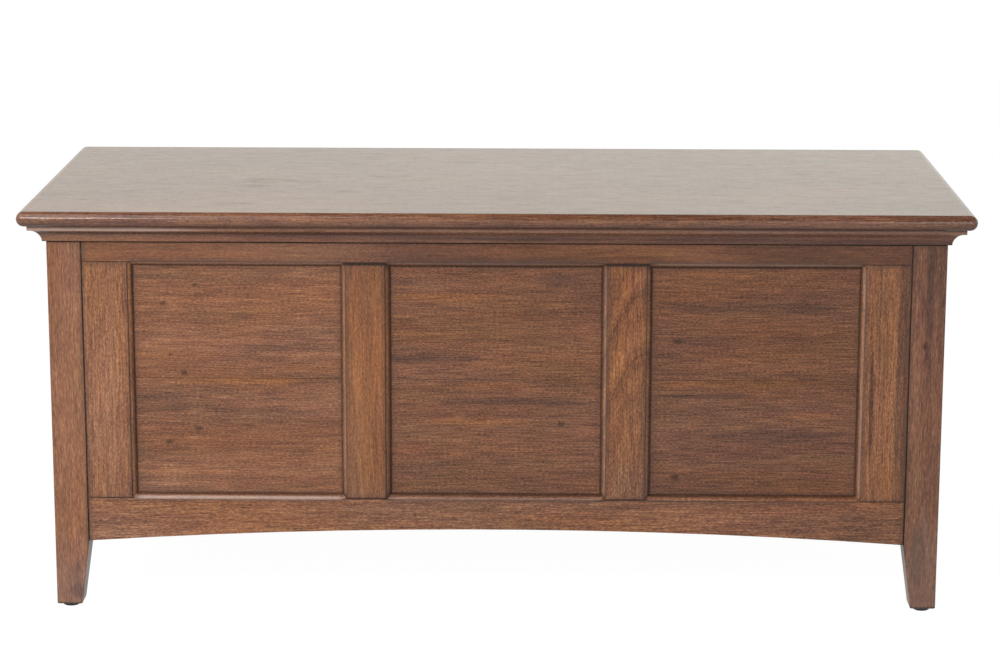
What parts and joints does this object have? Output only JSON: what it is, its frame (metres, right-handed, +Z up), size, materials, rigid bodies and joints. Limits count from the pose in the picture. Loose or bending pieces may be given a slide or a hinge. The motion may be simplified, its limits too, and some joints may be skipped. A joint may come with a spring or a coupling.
{
  "type": "blanket chest",
  "caption": "Long low blanket chest in stained wood with recessed front panels, tapered legs, arched bottom rails and a moulded lift-up lid on stays.",
  "frame": {"origin": "centre of the footprint of the whole chest, lid closed, on the floor under the glides", "axes": "+X to the right as seen from the front, +Y to the back, +Z up"},
  "size_m": [1.219, 0.546, 0.5327],
  "materials": {
    "case_wood": "satin lacquer over a brown stain, dark glaze in the seams",
    "panel_wood": "satin lacquer over a brown stain, grain lengthwise",
    "lid_wood": "satin lacquer over a brown stain, rubbed smooth",
    "back_panel_wood": "thin stain on plywood",
    "lining_wood": "bare red cedar",
    "hinge_brass": "aged brass",
    "screw_steel": "brassed steel",
    "stay_steel": "brassed steel",
    "glide_plastic": "matt black nylon",
    "bumper_rubber": "soft brown pad"
  },
  "bodies": {
    "case": {"back_bottom_rail": "case_wood", "back_cleat": "lining_wood", "back_muntin": "case_wood", "back_panel_left": "back_panel_wood", "back_panel_right": "back_panel_wood", "back_top_rail": "case_wood", "bottom_panel": "lining_wood", "case_screws": "screw_steel", "foot_glides": "glide_plastic", "front_bottom_rail": "case_wood", "front_cleat": "lining_wood", "front_left_leg": "case_wood", "front_muntin_left": "case_wood", "front_muntin_right": "case_wood", "front_panel_centre": "panel_wood", "front_panel_left": "panel_wood", "front_panel_right": "panel_wood", "front_right_leg": "case_wood", "front_stile_left": "case_wood", "front_stile_right": "case_wood", "front_top_rail": "case_wood", "hinge_case_leaf_left": "hinge_brass", "hinge_case_leaf_right": "hinge_brass", "hinge_pin_left": "hinge_brass", "hinge_pin_right": "hinge_brass", "left_bottom_rail": "case_wood", "left_cleat": "lining_wood", "left_front_stile": "case_wood", "left_panel": "panel_wood", "left_rear_stile": "case_wood", "left_top_rail": "case_wood", "rear_left_leg": "case_wood", "rear_right_leg": "case_wood", "right_bottom_rail": "case_wood", "right_cleat": "lining_wood", "right_front_stile": "case_wood", "right_panel": "panel_wood", "right_rear_stile": "case_wood", "right_top_rail": "case_wood", "stay_case_bracket_left": "stay_steel", "stay_case_bracket_right": "stay_steel"},
    "lid": {"hinge_lid_leaf_left": "hinge_brass", "hinge_lid_leaf_right": "hinge_brass", "lid_batten_left": "lining_wood", "lid_batten_right": "lining_wood", "lid_bumpers": "bumper_rubber", "lid_moulding_front": "case_wood", "lid_moulding_left": "case_wood", "lid_moulding_right": "case_wood", "lid_rear_rail": "case_wood", "lid_screws": "screw_steel", "lid_top": "lid_wood", "stay_lid_bracket_left": "stay_steel", "stay_lid_bracket_right": "stay_steel"},
    "stay_upper_left": {"stay_upper_arm_left": "stay_steel"},
    "stay_upper_right": {"stay_upper_arm_right": "stay_steel"},
    "stay_lower_left": {"stay_elbow_rivet_left": "stay_steel", "stay_lower_arm_left": "stay_steel"},
    "stay_lower_right": {"stay_elbow_rivet_right": "stay_steel", "stay_lower_arm_right": "stay_steel"}
  },
  "joints": [
    {"name": "lid_hinge", "type": "hinge", "parent": "case", "child": "lid", "pos_m": [0, 0.26425, 0.4902], "axis": [-1, 0, 0], "range_deg": [0, 95]},
    {"name": "stay_lower_left_pivot", "type": "hinge", "parent": "case", "child": "stay_lower_left", "pos_m": [-0.542, 0.18069, 0.39061], "axis": [-1, 0, 0], "range_deg": [0, 95]},
    {"name": "stay_upper_left_pivot", "type": "hinge", "parent": "lid", "child": "stay_upper_left", "pos_m": [-0.5445, 0.13425, 0.4902], "axis": [-1, 0, 0], "range_deg": [-95, 0]},
    {"name": "stay_lower_right_pivot", "type": "hinge", "parent": "case", "child": "stay_lower_right", "pos_m": [0.542, 0.18069, 0.39061], "axis": [-1, 0, 0], "range_deg": [0, 95]},
    {"name": "stay_upper_right_pivot", "type": "hinge", "parent": "lid", "child": "stay_upper_right", "pos_m": [0.5445, 0.13425, 0.4902], "axis": [-1, 0, 0], "range_deg": [-95, 0]}
  ],
  "couplings": [
    {"joint": "stay_lower_left_pivot", "follows": "lid_hinge", "ratio": 1},
    {"joint": "stay_upper_left_pivot", "follows": "lid_hinge", "ratio": -1},
    {"joint": "stay_lower_right_pivot", "follows": "lid_hinge", "ratio": 1},
    {"joint": "stay_upper_right_pivot", "follows": "lid_hinge", "ratio": -1}
  ]
}
